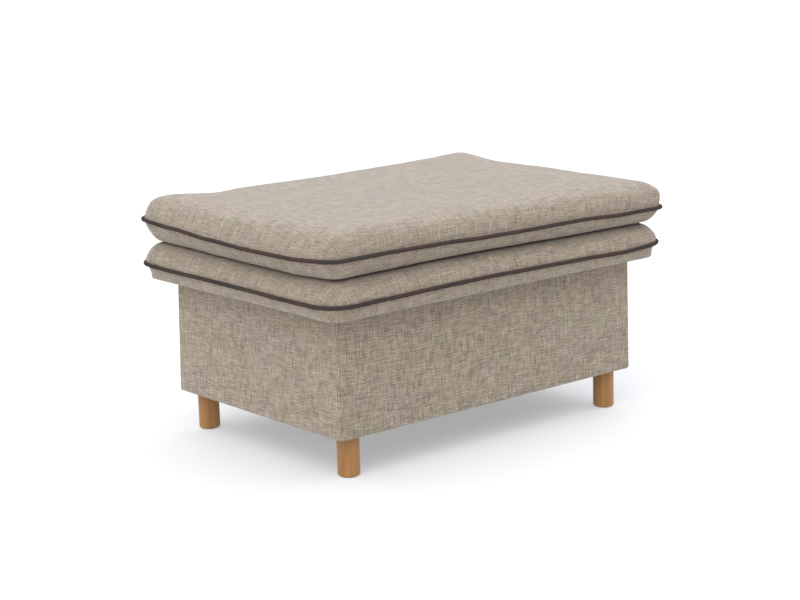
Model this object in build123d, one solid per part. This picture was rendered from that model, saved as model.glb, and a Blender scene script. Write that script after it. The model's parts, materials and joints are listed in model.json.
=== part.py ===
from build123d import *
import os
from math import asin, cos, degrees, radians, sin, sqrt

# Storage ottoman: an upholstered box on four round legs, a hinged lid that carries
# one piped pad, and a second piped pad that lies loose on the first.
# Millimetres. +X runs along the length to the right, -Y is the front, +Z is up.
# The origin is on the floor under the middle.

# The upholstered box
body_length = 780
body_depth = 546
body_height = 240.8
body_corner_radius = 8
cover_thickness = 1.5
wadding_thickness = 6
panel_thickness = 15
lining_thickness = 0.8

# The legs and what holds them
leg_length = 82.5
leg_radius = 22
leg_side_inset = 41
leg_front_inset = 36
leg_chamfer = 2.5
glide_radius = 17
glide_thickness = 1.5
bolt_radius = 4
bolt_depth_in_leg = 34
bolt_depth_in_block = 22
insert_radius = 6
insert_length = 25
thread_clearance = 0.1
bolt_end_room = 2
block_length = 70
block_depth = 60
block_height = 32
batten_width = 20
floor_thickness = 9
dust_cover_thickness = 0.8
dust_cover_inset = 10
leg_hole_clearance = 1.5

# The felt bumpers on the rim, and the gap that parts at rest keep
bumper_radius = 5
bumper_thickness = 1.5
bumper_corner_distance = 45
rest_clearance = 0.2

# The lid board
board_thickness = 15
board_gap = 0.5
cover_turn_under = 40
cloth_gap = 0.3

# Both pads: a cover of two panels, sewn together on a piping at mid height
pad_cover_thickness = 2
pad_foam_gap = 2
piping_radius = 4
piping_flange_thickness = 1
piping_flange_lap = 0.5
piping_gap = 0.2
side_draw_in = 4

# The lower pad, fixed on the lid board
lower_seam_rise = 30
lower_crown_rise = 43.4
lower_piping_overhang = 60
lower_corner_radius = 53
lower_edge_inset = 10.8
lower_crown_inset = 23

# The upper pad, loose
upper_seam_rise = 36
upper_crown_rise = 52
upper_piping_overhang = 56
upper_corner_radius = 36
upper_edge_inset = 19
upper_crown_inset = 130

# Profile of a pad's side, from the seam (first row) to the face (last row):
# share of the rise, share of the inset, share of the corner radius, share of the draw-in
edge_profile_shares = (
    (0, 0, 1, 0),
    (0.2, 0.06, 1, 0),
    (0.4, 0.16, 0.99, 0),
    (0.6, 0.31, 0.98, 0),
    (0.76, 0.46, 0.96, 0),
    (0.88, 0.63, 0.94, 0),
    (0.96, 0.8, 0.92, 0),
    (1, 1, 0.88, 0),
)
tucked_profile_shares = (
    (0, 0, 1, 0),
    (0.15, 0.02, 0.99, 0.1),
    (0.3, 0.09, 0.96, 0.25),
    (0.45, 0.2, 0.92, 0.4),
    (0.6, 0.34, 0.87, 0.55),
    (0.74, 0.51, 0.81, 0.7),
    (0.88, 0.74, 0.73, 0.85),
    (1, 1, 0.62, 1),
)
crowned_profile_shares = (
    (0, 0, 1, 0),
    (0.12, 0.002, 1, 0.1),
    (0.25, 0.008, 1, 0.2),
    (0.38, 0.018, 1, 0.3),
    (0.5, 0.032, 1, 0.45),
    (0.61, 0.052, 1.01, 0.6),
    (0.71, 0.08, 1.03, 0.75),
    (0.79, 0.112, 1.06, 0.85),
    (0.86, 0.158, 1.1, 0.95),
    (0.92, 0.23, 1.2, 1),
    (0.96, 0.35, 1.4, 1),
    (0.985, 0.58, 1.7, 1),
    (1, 1, 2.2, 1),
)

# The hook-and-loop strips between the pads
strip_width = 30
strip_thickness = 1
strip_end_distance = 80

# The screws
screw_radius = 1.75
screw_head_radius = 3.2
screw_head_height = 1.5
screw_point_length = 3
screw_clearance = 0.1
panel_screw_length = 45
panel_screw_margin = 35
hinge_box_screw_length = 20
hinge_lid_screw_length = 15
track_screw_length = 12
bracket_screw_length = 14

# The two butt hinges behind the box
hinge_end_distance = 150
hinge_length = 80
leaf_width = 24
leaf_thickness = 2
knuckle_radius = 4.5
hinge_pin_radius = 2.5
hinge_pin_head_radius = 3.6
hinge_pin_head_thickness = 1
running_clearance = 0.05
knuckle_gap = 0.3
leaf_relief = 0.4
hinge_screw_spacing = 50
leaf_screw_margin = 10

# The two lid stays: an arm from a bracket on the lid to a slider in a sloping track
lid_open_angle = 75
arm_length = 200
arm_width = 16
arm_thickness = 2.5
arm_pivot_drop = 20
rivet_radius = 3
rivet_head_radius = 4.5
rivet_head_thickness = 1.2
stay_gap = 0.5
rivet_gap = 0.2
track_slope = 12
track_width = 16
track_depth = 10
track_wall = 1.5
slider_thickness = 6
slider_radius = 6
slider_pin_radius = 3.2
slot_clearance = 0.3
track_end_room = 1.5
track_screw_margin = 60
bracket_length = 60
bracket_base_width = 14
bracket_thickness = 2
bracket_ear_width = 18
bracket_screw_spacing = 44

# Every cut runs past the surface it opens by this much
cut_overrun = 5

# Levels
body_underside = leg_length
panel_low = body_underside + cover_thickness
rim_level = body_underside + body_height
panel_high = rim_level - cover_thickness
floor_low = panel_low + block_height
floor_high = floor_low + floor_thickness
lid_level = rim_level + bumper_thickness + rest_clearance
board_low = lid_level + cover_thickness
board_high = board_low + board_thickness
lower_seam_level = lid_level + lower_seam_rise
lower_top_level = lower_seam_level + lower_crown_rise
hook_high = lower_top_level + strip_thickness
loop_low = hook_high + rest_clearance
upper_bottom_level = loop_low + strip_thickness
upper_seam_level = upper_bottom_level + upper_seam_rise
upper_top_level = upper_seam_level + upper_crown_rise

# The strips divide the length in three and stop short of the box's front and back
strip_spacing = body_length / 3
strip_length = body_depth - 2 * strip_end_distance

# Half sizes in plan, from the middle outwards to each face
body_half_x, body_half_y = body_length / 2, body_depth / 2
padded_half_x, padded_half_y = body_half_x - cover_thickness, body_half_y - cover_thickness
panel_half_x, panel_half_y = padded_half_x - wadding_thickness, padded_half_y - wadding_thickness
inner_half_x, inner_half_y = panel_half_x - panel_thickness, panel_half_y - panel_thickness
lined_half_x, lined_half_y = inner_half_x - lining_thickness, inner_half_y - lining_thickness
leg_x, leg_y = body_half_x - leg_side_inset, body_half_y - leg_front_inset
leg_places = [(x, y) for x in (-leg_x, leg_x) for y in (-leg_y, leg_y)]

# The hinge axis runs along X: tangent to the box's rear face and to the lid's underside
hinge_y = body_half_y + knuckle_radius
hinge_z = lid_level - knuckle_radius
hinge_spacing = body_length - 2 * hinge_end_distance
hinge_places = (-hinge_spacing / 2, hinge_spacing / 2)

# The stay is a Scott-Russell linkage. The arm's pivot on the lid lies one arm length from
# the hinge axis, so the slider at the arm's far end stays on a straight line through that axis.
pivot_z = lid_level - arm_pivot_drop
pivot_y = hinge_y - sqrt(arm_length**2 - (hinge_z - pivot_z) ** 2)


def box_between(low, high):
    """A box given by its lowest and highest corner."""
    size = [b - a for a, b in zip(low, high)]
    middle = [(a + b) / 2 for a, b in zip(low, high)]
    return Pos(*middle) * Box(*size)


def centred_box(half_x, half_y, low, high):
    """A box centred on the Z axis between two levels."""
    return box_between((-half_x, -half_y, low), (half_x, half_y, high))


def slab(half_x, half_y, radius, low, high):
    """A plate with rounded corners, centred on the Z axis between two levels."""
    outline = RectangleRounded(2 * half_x, 2 * half_y, radius)
    return Pos(0, 0, low) * extrude(outline, amount=high - low)


def upright(radius, x, y, low, high):
    """An upright cylinder at x, y between two levels."""
    return Pos(x, y, (low + high) / 2) * Cylinder(radius, high - low)


def crosswise(radius, low_x, high_x, y, z):
    """A cylinder along X between two values of x."""
    return Pos((low_x + high_x) / 2, y, z) * Rot(0, 90, 0) * Cylinder(radius, high_x - low_x)


def group(shapes):
    """Like pieces that share one node, each its own solid."""
    return Compound([solid for shape in shapes for solid in shape.solids()])


def save(shape, node):
    export_step(shape, f"parts/{node}.step")


def turned(points):
    """A solid turned about Z from an outline of radius and height."""
    return revolve(make_face(Plane.XZ * Polyline(*points, close=True)), Axis.Z)


def screw(length):
    """A countersunk screw whose head lies in the XY plane and whose point is below."""
    return turned(
        [
            (0, 0),
            (screw_head_radius, 0),
            (screw_radius, -screw_head_height),
            (screw_radius, screw_point_length - length),
            (0, -length),
        ]
    )


def screw_hole(length):
    """The hole for that screw, open above its head."""
    head = screw_head_radius + screw_clearance
    shank = screw_radius + screw_clearance
    return turned(
        [
            (0, cut_overrun),
            (head, cut_overrun),
            (head, 0),
            (shank, -screw_head_height),
            (shank, -length - screw_clearance),
            (0, -length - screw_clearance),
        ]
    )


def screws_at(seats, length):
    """Screws at their seats: a seat's normal points out of the head's face."""
    return group([seat * screw(length) for seat in seats])


def drill(shape, seats, length):
    """Cuts the holes of the screws at these seats."""
    for seat in seats:
        shape -= seat * screw_hole(length)
    return shape


def seat(x, y, z, normal):
    return Plane(origin=(x, y, z), z_dir=normal).location


# Screw seats: where a head lies, and which way it looks
panel_screw_levels = (
    panel_low + panel_screw_margin,
    (panel_low + panel_high) / 2,
    panel_high - panel_screw_margin,
)
panel_screw_x = (inner_half_x + panel_half_x) / 2
front_screw_seats = [
    seat(x, -panel_half_y, z, (0, -1, 0))
    for x in (-panel_screw_x, panel_screw_x)
    for z in panel_screw_levels
]
back_screw_seats = [
    seat(x, panel_half_y, z, (0, 1, 0))
    for x in (-panel_screw_x, panel_screw_x)
    for z in panel_screw_levels
]
hinge_screw_xs = [
    place + side * hinge_screw_spacing / 2 for place in hinge_places for side in (-1, 1)
]
hinge_box_seats = [
    seat(x, body_half_y + leaf_thickness, hinge_z - leaf_width + leaf_screw_margin, (0, 1, 0))
    for x in hinge_screw_xs
]
hinge_lid_seats = [
    seat(x, hinge_y + leaf_width - leaf_screw_margin, lid_level - leaf_thickness, (0, 0, -1))
    for x in hinge_screw_xs
]

# Places of the stay across the box, on the right-hand side: from the wall inwards
track_x = lined_half_x - track_depth
slider_high_x = lined_half_x - track_wall - (track_depth - 2 * track_wall - slider_thickness) / 2
slider_low_x = slider_high_x - slider_thickness
arm_high_x = track_x - stay_gap
arm_low_x = arm_high_x - arm_thickness
ear_high_x = arm_low_x - stay_gap
ear_low_x = ear_high_x - bracket_thickness
bracket_screw_x = ear_low_x + bracket_thickness + (bracket_base_width - bracket_thickness) / 2

# Distances from the hinge axis along the track, with the lid shut and with it open
closed_spread = track_slope - degrees(asin((hinge_z - pivot_z) / arm_length))
slider_far = 2 * arm_length * cos(radians(closed_spread))
slider_near = 2 * arm_length * cos(radians(closed_spread + lid_open_angle))
track_far = slider_far + slider_radius + track_end_room + track_wall
track_near = slider_near - slider_radius - track_end_room - track_wall
on_track = Pos(0, hinge_y, hinge_z) * Rot(track_slope, 0, 0)
slider_y = hinge_y - slider_far * cos(radians(track_slope))
slider_z = hinge_z - slider_far * sin(radians(track_slope))


def track_seats(side):
    """Seats of the track's screws on the left (side -1) or right (side 1) end wall."""
    return [
        on_track * seat(side * (lined_half_x - track_wall), -along, 0, (-side, 0, 0))
        for along in (track_near + track_screw_margin, track_far - track_screw_margin)
    ]


def bracket_seats(side):
    """Seats of the lid bracket's screws on the left (side -1) or right (side 1)."""
    return [
        seat(side * bracket_screw_x, pivot_y + step * bracket_screw_spacing / 2,
             lid_level - bracket_thickness, (0, 0, -1))
        for step in (-1, 1)
    ]


both_track_seats = track_seats(1) + track_seats(-1)
both_bracket_seats = bracket_seats(1) + bracket_seats(-1)


def mirrored(shape):
    """The left-hand twin of a right-hand shape."""
    return mirror(shape, about=Plane.YZ)


# The box's carcass
def long_panel(side, seats):
    """The front (side -1) or back (side 1) board, over the ends of the short ones."""
    near, far = sorted((side * inner_half_y, side * panel_half_y))
    board = box_between((-panel_half_x, near, panel_low), (panel_half_x, far, panel_high))
    board = drill(board, hinge_box_seats if side > 0 else [], hinge_box_screw_length)
    return drill(board, seats, panel_screw_length)


def right_panel():
    """The right-hand end board, between the long ones."""
    board = box_between(
        (inner_half_x, -inner_half_y, panel_low), (panel_half_x, inner_half_y, panel_high)
    )
    board = drill(board, front_screw_seats + back_screw_seats, panel_screw_length)
    return drill(board, track_seats(1), track_screw_length)


def leg_blocks():
    """A hardwood block in each corner, bored for the leg's threaded insert."""
    blocks = []
    for x, y in leg_places:
        side_x, side_y = (1 if x > 0 else -1), (1 if y > 0 else -1)
        xs = sorted((side_x * inner_half_x, side_x * (inner_half_x - block_length)))
        ys = sorted((side_y * inner_half_y, side_y * (inner_half_y - block_depth)))
        block = box_between((xs[0], ys[0], panel_low), (xs[1], ys[1], floor_low))
        bore = upright(
            insert_radius + thread_clearance, x, y,
            panel_low - cut_overrun, panel_low + insert_length + bolt_end_room,
        )
        blocks.append(block - bore)
    return group(blocks)


def floor_battens():
    """Two battens between the blocks, under the floor's long edges."""
    reach = inner_half_x - block_length
    batten = box_between(
        (-reach, inner_half_y - batten_width, floor_low - batten_width),
        (reach, inner_half_y, floor_low),
    )
    return group([batten, mirror(batten, about=Plane.XZ)])


def lining():
    """The cloth on the inner walls and on the floor."""
    cloth = centred_box(inner_half_x, inner_half_y, floor_high, panel_high)
    cloth -= centred_box(
        lined_half_x, lined_half_y, floor_high + lining_thickness, panel_high + cut_overrun
    )
    return drill(cloth, both_track_seats, track_screw_length)


def wadding():
    """The soft layer round the outside of the four boards."""
    layer = slab(padded_half_x, padded_half_y, body_corner_radius - cover_thickness,
                 panel_low, panel_high)
    layer -= centred_box(panel_half_x, panel_half_y, panel_low - cut_overrun,
                         panel_high + cut_overrun)
    return drill(layer, hinge_box_seats, hinge_box_screw_length)


def body_cover():
    """The fabric sleeve, turned in over the rim and turned under at the bottom."""
    sleeve = slab(body_half_x, body_half_y, body_corner_radius, body_underside, rim_level)
    sleeve -= slab(padded_half_x, padded_half_y, body_corner_radius - cover_thickness,
                   panel_low, panel_high)
    sleeve -= centred_box(lined_half_x, lined_half_y, panel_high, rim_level + cut_overrun)
    sleeve -= centred_box(inner_half_x, inner_half_y, body_underside - cut_overrun, panel_low)
    return drill(sleeve, hinge_box_seats, hinge_box_screw_length)


def dust_cover():
    """The thin black cloth under the box, cut out round the legs."""
    cloth = slab(body_half_x - dust_cover_inset, body_half_y - dust_cover_inset,
                 body_corner_radius, body_underside - dust_cover_thickness, body_underside)
    for x, y in leg_places:
        cloth -= upright(leg_radius + leg_hole_clearance, x, y,
                         body_underside - cut_overrun, body_underside + cut_overrun)
    return cloth


def rim_bumpers():
    """Felt discs on the rim, which the lid comes down on."""
    x = (inner_half_x + panel_half_x) / 2
    y = inner_half_y - bumper_corner_distance
    return group(
        [
            upright(bumper_radius, side_x * x, side_y * y, rim_level, rim_level + bumper_thickness)
            for side_x in (-1, 1)
            for side_y in (-1, 1)
        ]
    )


# The legs
def leg(x, y):
    """A round wooden leg, bored from the top and eased at the foot."""
    shape = upright(leg_radius, x, y, glide_thickness, body_underside)
    shape = chamfer(shape.edges().group_by(Axis.Z)[0], leg_chamfer)
    return shape - upright(bolt_radius + thread_clearance, x, y,
                           body_underside - bolt_depth_in_leg - bolt_end_room,
                           body_underside + cut_overrun)


def leg_bolts():
    return group(
        [
            upright(bolt_radius, x, y, body_underside - bolt_depth_in_leg,
                    panel_low + bolt_depth_in_block)
            for x, y in leg_places
        ]
    )


def leg_inserts():
    """Threaded inserts in the blocks."""
    top = panel_low + insert_length
    return group(
        [
            upright(insert_radius, x, y, panel_low, top)
            - upright(bolt_radius + thread_clearance, x, y, panel_low - cut_overrun,
                      top + cut_overrun)
            for x, y in leg_places
        ]
    )


def leg_glides():
    return group([upright(glide_radius, x, y, 0, glide_thickness) for x, y in leg_places])


# The pads
def pad_outline(half_x, half_y, radius, draw_in, level):
    """A rounded rectangle whose four sides draw in by an arc between its corners."""
    flat_x, flat_y = half_x - radius, half_y - radius
    bend_x, bend_y = flat_x + radius / sqrt(2), flat_y + radius / sqrt(2)
    ends = [
        (half_x, -flat_y), (half_x, flat_y), (flat_x, half_y), (-flat_x, half_y),
        (-half_x, flat_y), (-half_x, -flat_y), (-flat_x, -half_y), (flat_x, -half_y),
    ]
    middles = [
        (half_x - draw_in, 0), (bend_x, bend_y), (0, half_y - draw_in), (-bend_x, bend_y),
        (draw_in - half_x, 0), (-bend_x, -bend_y), (0, draw_in - half_y), (bend_x, -bend_y),
    ]
    edges = []
    for index, (start, middle) in enumerate(zip(ends, middles)):
        end = ends[(index + 1) % len(ends)]
        straight = draw_in == 0 and index % 2 == 0
        edges.append(Line(start, end) if straight else ThreePointArc(start, middle, end))
    return Pos(0, 0, level) * make_face(edges)


def pad_half(overhang, radius, start, end, inset, profile_shares, draw_in=side_draw_in, shrink=0):
    """Half a pad, lofted from its seam at level start to its face at level end."""
    sections = []
    for rise_share, inset_share, radius_share, draw_share in profile_shares:
        reach = overhang - shrink - inset * inset_share
        sections.append(
            pad_outline(
                body_half_x + reach,
                body_half_y + reach,
                radius * radius_share - shrink,
                draw_in * draw_share,
                start + (end - start) * rise_share,
            )
        )
    return loft(sections, ruled=True)


def pad_cover(overhang, radius, start, end, inset, profile_shares):
    """One cover panel: a shell open at the seam, closed over the face."""
    wall = pad_cover_thickness if end > start else -pad_cover_thickness
    outside = pad_half(overhang, radius, start, end, inset, profile_shares)
    inside = pad_half(overhang, radius, start, end - wall, inset, profile_shares,
                      shrink=pad_cover_thickness)
    return outside - inside


def pad_foam(overhang, radius, low, seam, high, insets, profiles):
    """The foam: both halves inside the covers, clear of their curved sides."""
    shrink = pad_cover_thickness + pad_foam_gap
    below = pad_half(overhang, radius, seam, low, insets[0], profiles[0], shrink=shrink)
    above = pad_half(overhang, radius, seam, high, insets[1], profiles[1], shrink=shrink)
    return below + above


def piping(overhang, radius, level):
    """A corded piping swept round the pad, with the flange that is sewn into the seam."""
    width, depth = body_length + 2 * overhang, body_depth + 2 * overhang
    centre_radius = radius + piping_radius + piping_gap
    route = (Pos(0, 0, level) * RectangleRounded(width, depth, centre_radius)).wire()
    lap = piping_radius + piping_gap + pad_cover_thickness + piping_flange_lap
    across = Circle(piping_radius) + Pos(0, -lap / 2) * Rectangle(piping_flange_thickness, lap)
    start = Plane(origin=route @ 0, x_dir=(0, 0, 1), z_dir=route % 0)
    return sweep(start * across, path=route)


lower_rim_overhang = lower_piping_overhang - piping_radius - piping_gap
upper_rim_overhang = upper_piping_overhang - piping_radius - piping_gap
half_flange = piping_flange_thickness / 2


def lower_bottom_cover():
    """The lower pad's under cover, drawn round the board's edge and turned under it."""
    start = lower_seam_level - half_flange
    outside = pad_half(lower_rim_overhang, lower_corner_radius, start, lid_level,
                       lower_edge_inset, edge_profile_shares, 0)
    inside = pad_half(lower_rim_overhang, lower_corner_radius, start, board_low,
                      lower_edge_inset, edge_profile_shares, 0, pad_cover_thickness)
    window = centred_box(body_half_x - cover_turn_under, body_half_y - cover_turn_under,
                         lid_level - cut_overrun, lid_level + cut_overrun)
    shell = drill(outside - inside - window, hinge_lid_seats, hinge_lid_screw_length)
    return drill(shell, both_bracket_seats, bracket_screw_length)


def lower_foam():
    """The lower pad's foam, cut flat where it lies on the board."""
    whole = pad_foam(
        lower_rim_overhang, lower_corner_radius,
        board_low, lower_seam_level, lower_top_level - pad_cover_thickness,
        (lower_edge_inset, lower_crown_inset), (edge_profile_shares, tucked_profile_shares),
    )
    reach = body_half_x + lower_piping_overhang
    return whole - centred_box(reach, reach, lid_level - cut_overrun, board_high)


def lid_board():
    """The board inside the turned edge of the lower pad's cover."""
    overhang = lower_rim_overhang - lower_edge_inset - pad_cover_thickness - board_gap
    face_radius_share = edge_profile_shares[-1][2]
    radius = lower_corner_radius * face_radius_share - pad_cover_thickness - board_gap
    board = slab(body_half_x + overhang, body_half_y + overhang, radius, board_low, board_high)
    board = drill(board, hinge_lid_seats, hinge_lid_screw_length)
    return drill(board, both_bracket_seats, bracket_screw_length)


def lid_underside_cloth():
    """The cloth on the board's underside, between the edges of the turned cover."""
    cloth = centred_box(
        body_half_x - cover_turn_under - cloth_gap,
        body_half_y - cover_turn_under - cloth_gap,
        lid_level, board_low,
    )
    return drill(cloth, both_bracket_seats, bracket_screw_length)


def strips(low, high):
    """Three strips across the pads' contact face."""
    strip = box_between((-strip_width / 2, -strip_length / 2, low),
                        (strip_width / 2, strip_length / 2, high))
    return group([Pos(step * strip_spacing, 0, 0) * strip for step in (-1, 0, 1)])


# The hinges
knuckle_length = hinge_length / 3


def hinge_leaf(place, corner_low, corner_high, own_segments, seats, screw_length):
    """One leaf: its plate, its own knuckles, and room for the other leaf's knuckles."""
    leaf = box_between(corner_low, corner_high)
    for segment in (-1, 0, 1):
        low = place + (segment - 1 / 2) * knuckle_length
        high = low + knuckle_length
        if segment in own_segments:
            leaf += crosswise(knuckle_radius, low + knuckle_gap / 2 * (segment > -1),
                              high - knuckle_gap / 2 * (segment < 1), hinge_y, hinge_z)
        else:
            leaf -= crosswise(knuckle_radius + leaf_relief, low - knuckle_gap / 2,
                              high + knuckle_gap / 2, hinge_y, hinge_z)
    leaf -= crosswise(hinge_pin_radius + running_clearance, place - hinge_length / 2 - cut_overrun,
                      place + hinge_length / 2 + cut_overrun, hinge_y, hinge_z)
    return drill(leaf, seats, screw_length)


def hinge_box_leaf(place):
    """The leaf on the box's rear face, with the two outer knuckles."""
    return hinge_leaf(
        place,
        (place - hinge_length / 2, body_half_y, hinge_z - leaf_width),
        (place + hinge_length / 2, body_half_y + leaf_thickness, hinge_z),
        (-1, 1), hinge_box_seats, hinge_box_screw_length,
    )


def hinge_lid_leaf(place):
    """The leaf under the lid's rear overhang, with the middle knuckle."""
    return hinge_leaf(
        place,
        (place - hinge_length / 2, hinge_y, lid_level - leaf_thickness),
        (place + hinge_length / 2, hinge_y + leaf_width, lid_level),
        (0,), hinge_lid_seats, hinge_lid_screw_length,
    )


def hinge_pin(place):
    """The pin, with a low head at each end."""
    low, high = place - hinge_length / 2, place + hinge_length / 2
    pin = crosswise(hinge_pin_radius, low, high, hinge_y, hinge_z)
    pin += crosswise(hinge_pin_head_radius, low - hinge_pin_head_thickness, low, hinge_y, hinge_z)
    return pin + crosswise(hinge_pin_head_radius, high, high + hinge_pin_head_thickness,
                           hinge_y, hinge_z)


# The lid stays, all drawn on the right-hand side
def stay_track():
    """A lipped steel channel with closed ends, screwed to the end wall."""
    half = track_width / 2
    channel = box_between((track_x, -track_far, -half), (lined_half_x, -track_near, half))
    channel -= box_between(
        (track_x + track_wall, track_wall - track_far, track_wall - half),
        (lined_half_x - track_wall, -track_near - track_wall, half - track_wall),
    )
    slot_half = slider_pin_radius + slot_clearance
    channel -= box_between(
        (track_x - cut_overrun, -slider_far - slot_half, -slot_half),
        (track_x + track_wall + slot_clearance, slot_half - slider_near, slot_half),
    )
    return drill(on_track * channel, track_seats(1), track_screw_length)


def stay_arm():
    """A flat bar from the lid bracket's rivet to the slider's pin."""
    bar = crosswise(arm_width / 2, arm_low_x, arm_high_x, pivot_y, pivot_z)
    bar += crosswise(arm_width / 2, arm_low_x, arm_high_x, slider_y, slider_z)
    middle_y, middle_z = (pivot_y + slider_y) / 2, (pivot_z + slider_z) / 2
    tilt = track_slope + closed_spread
    flat = Pos((arm_low_x + arm_high_x) / 2, middle_y, middle_z) * Rot(tilt, 0, 0)
    bar += flat * Box(arm_thickness, arm_length, arm_width)
    low, high = arm_low_x - cut_overrun, arm_high_x + cut_overrun
    bar -= crosswise(rivet_radius + running_clearance, low, high, pivot_y, pivot_z)
    return bar - crosswise(slider_pin_radius + running_clearance, low, high, slider_y, slider_z)


def stay_slider():
    """A nylon button in the track, with its pin riveted over on the arm's far side."""
    button = crosswise(slider_radius, slider_low_x, slider_high_x, slider_y, slider_z)
    head_high_x = arm_low_x - rivet_gap
    button += crosswise(slider_pin_radius, head_high_x, slider_low_x, slider_y, slider_z)
    return button + crosswise(rivet_head_radius, head_high_x - rivet_head_thickness,
                              head_high_x, slider_y, slider_z)


def stay_bracket():
    """An angle under the lid: its ear hangs beside the arm's end."""
    plate = box_between(
        (ear_low_x, pivot_y - bracket_length / 2, lid_level - bracket_thickness),
        (ear_low_x + bracket_base_width, pivot_y + bracket_length / 2, lid_level),
    )
    ear = box_between((ear_low_x, pivot_y - bracket_ear_width / 2, pivot_z),
                      (ear_high_x, pivot_y + bracket_ear_width / 2, lid_level))
    ear += crosswise(bracket_ear_width / 2, ear_low_x, ear_high_x, pivot_y, pivot_z)
    shape = plate + ear
    shape -= crosswise(rivet_radius + running_clearance, ear_low_x - cut_overrun,
                       ear_high_x + stay_gap, pivot_y, pivot_z)
    return drill(shape, bracket_seats(1), bracket_screw_length)


def stay_rivet():
    """The rivet through the ear and the arm, with a head on each side."""
    low, high = ear_low_x, arm_high_x + rivet_gap
    rivet = crosswise(rivet_radius, low, high, pivot_y, pivot_z)
    rivet += crosswise(rivet_head_radius, low - rivet_head_thickness, low, pivot_y, pivot_z)
    return rivet + crosswise(rivet_head_radius, high, high + rivet_head_thickness,
                             pivot_y, pivot_z)


# The covers and foam that differ between the pads
def lower_top_cover():
    return pad_cover(lower_rim_overhang, lower_corner_radius,
                     lower_seam_level + half_flange, lower_top_level,
                     lower_crown_inset, tucked_profile_shares)


def upper_top_cover():
    return pad_cover(upper_rim_overhang, upper_corner_radius,
                     upper_seam_level + half_flange, upper_top_level,
                     upper_crown_inset, crowned_profile_shares)


def upper_bottom_cover():
    return pad_cover(upper_rim_overhang, upper_corner_radius,
                     upper_seam_level - half_flange, upper_bottom_level,
                     upper_edge_inset, tucked_profile_shares)


def upper_foam():
    return pad_foam(
        upper_rim_overhang, upper_corner_radius,
        upper_bottom_level + pad_cover_thickness, upper_seam_level,
        upper_top_level - pad_cover_thickness,
        (upper_edge_inset, upper_crown_inset), (tucked_profile_shares, crowned_profile_shares),
    )


os.makedirs("parts", exist_ok=True)

save(long_panel(-1, front_screw_seats), "front_panel")
save(long_panel(1, back_screw_seats), "back_panel")
save(right_panel(), "right_panel")
save(mirrored(right_panel()), "left_panel")
save(leg_blocks(), "leg_blocks")
save(floor_battens(), "floor_battens")
save(centred_box(inner_half_x, inner_half_y, floor_low, floor_high), "floor_panel")
save(screws_at(front_screw_seats + back_screw_seats, panel_screw_length), "panel_screws")
save(wadding(), "wadding")
save(body_cover(), "body_cover")
save(lining(), "lining")
save(dust_cover(), "dust_cover")
save(rim_bumpers(), "rim_bumpers")

leg_names = ("leg_front_left", "leg_rear_left", "leg_front_right", "leg_rear_right")
for node, (x, y) in zip(leg_names, leg_places):
    save(leg(x, y), node)
save(leg_bolts(), "leg_bolts")
save(leg_inserts(), "leg_inserts")
save(leg_glides(), "leg_glides")

for side, place in zip(("left", "right"), hinge_places):
    save(hinge_box_leaf(place), f"hinge_box_leaf_{side}")
    save(hinge_lid_leaf(place), f"hinge_lid_leaf_{side}")
    save(hinge_pin(place), f"hinge_pin_{side}")
save(screws_at(hinge_box_seats, hinge_box_screw_length), "hinge_box_screws")
save(screws_at(hinge_lid_seats, hinge_lid_screw_length), "hinge_lid_screws")

right_hand_pieces = {
    "stay_track": stay_track(),
    "stay_arm": stay_arm(),
    "stay_slider": stay_slider(),
    "stay_bracket": stay_bracket(),
    "stay_rivet": stay_rivet(),
}
for name, shape in right_hand_pieces.items():
    save(shape, f"{name}_right")
    save(mirrored(shape), f"{name}_left")
save(screws_at(both_track_seats, track_screw_length), "stay_track_screws")
save(screws_at(both_bracket_seats, bracket_screw_length), "stay_bracket_screws")

save(lid_board(), "lid_board")
save(lid_underside_cloth(), "lid_underside_cloth")
save(lower_foam(), "lower_pad_foam")
save(lower_bottom_cover(), "lower_pad_bottom_cover")
save(lower_top_cover(), "lower_pad_top_cover")
save(piping(lower_piping_overhang, lower_corner_radius, lower_seam_level), "lower_pad_piping")
save(strips(lower_top_level, hook_high), "hook_strips")
save(strips(loop_low, upper_bottom_level), "loop_strips")
save(upper_foam(), "upper_pad_foam")
save(upper_bottom_cover(), "upper_pad_bottom_cover")
save(upper_top_cover(), "upper_pad_top_cover")
save(piping(upper_piping_overhang, upper_corner_radius, upper_seam_level), "upper_pad_piping")
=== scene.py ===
import json
from math import cos, pi, radians, sin

import bpy
import numpy as np
from mathutils import Matrix, Vector


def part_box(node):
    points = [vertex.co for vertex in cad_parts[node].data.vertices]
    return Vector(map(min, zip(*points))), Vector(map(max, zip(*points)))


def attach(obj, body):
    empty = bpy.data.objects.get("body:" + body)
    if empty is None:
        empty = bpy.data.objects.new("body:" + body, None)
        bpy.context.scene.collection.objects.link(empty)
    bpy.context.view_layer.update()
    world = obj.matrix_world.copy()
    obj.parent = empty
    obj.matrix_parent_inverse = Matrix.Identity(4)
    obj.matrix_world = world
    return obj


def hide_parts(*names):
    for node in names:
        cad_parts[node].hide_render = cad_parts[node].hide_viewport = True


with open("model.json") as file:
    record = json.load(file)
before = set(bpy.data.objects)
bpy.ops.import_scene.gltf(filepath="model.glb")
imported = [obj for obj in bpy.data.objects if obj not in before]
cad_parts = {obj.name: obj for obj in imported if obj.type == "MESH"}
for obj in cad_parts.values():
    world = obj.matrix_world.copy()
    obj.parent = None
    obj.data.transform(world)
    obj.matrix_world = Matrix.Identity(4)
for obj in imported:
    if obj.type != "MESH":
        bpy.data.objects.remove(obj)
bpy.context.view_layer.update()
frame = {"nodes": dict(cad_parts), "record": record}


# The camera looks at the stool's front left corner from a little above, through a long
# lens, as the photographer did. The heading counts from the rear (+Y) towards +X.
camera_place = (-2.43683, -2.93937, 1.07685)
heading, dip, roll = radians(39.4926), radians(12.168), radians(-1.6719)
focal_length, film_width = 83.53, 36

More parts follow.
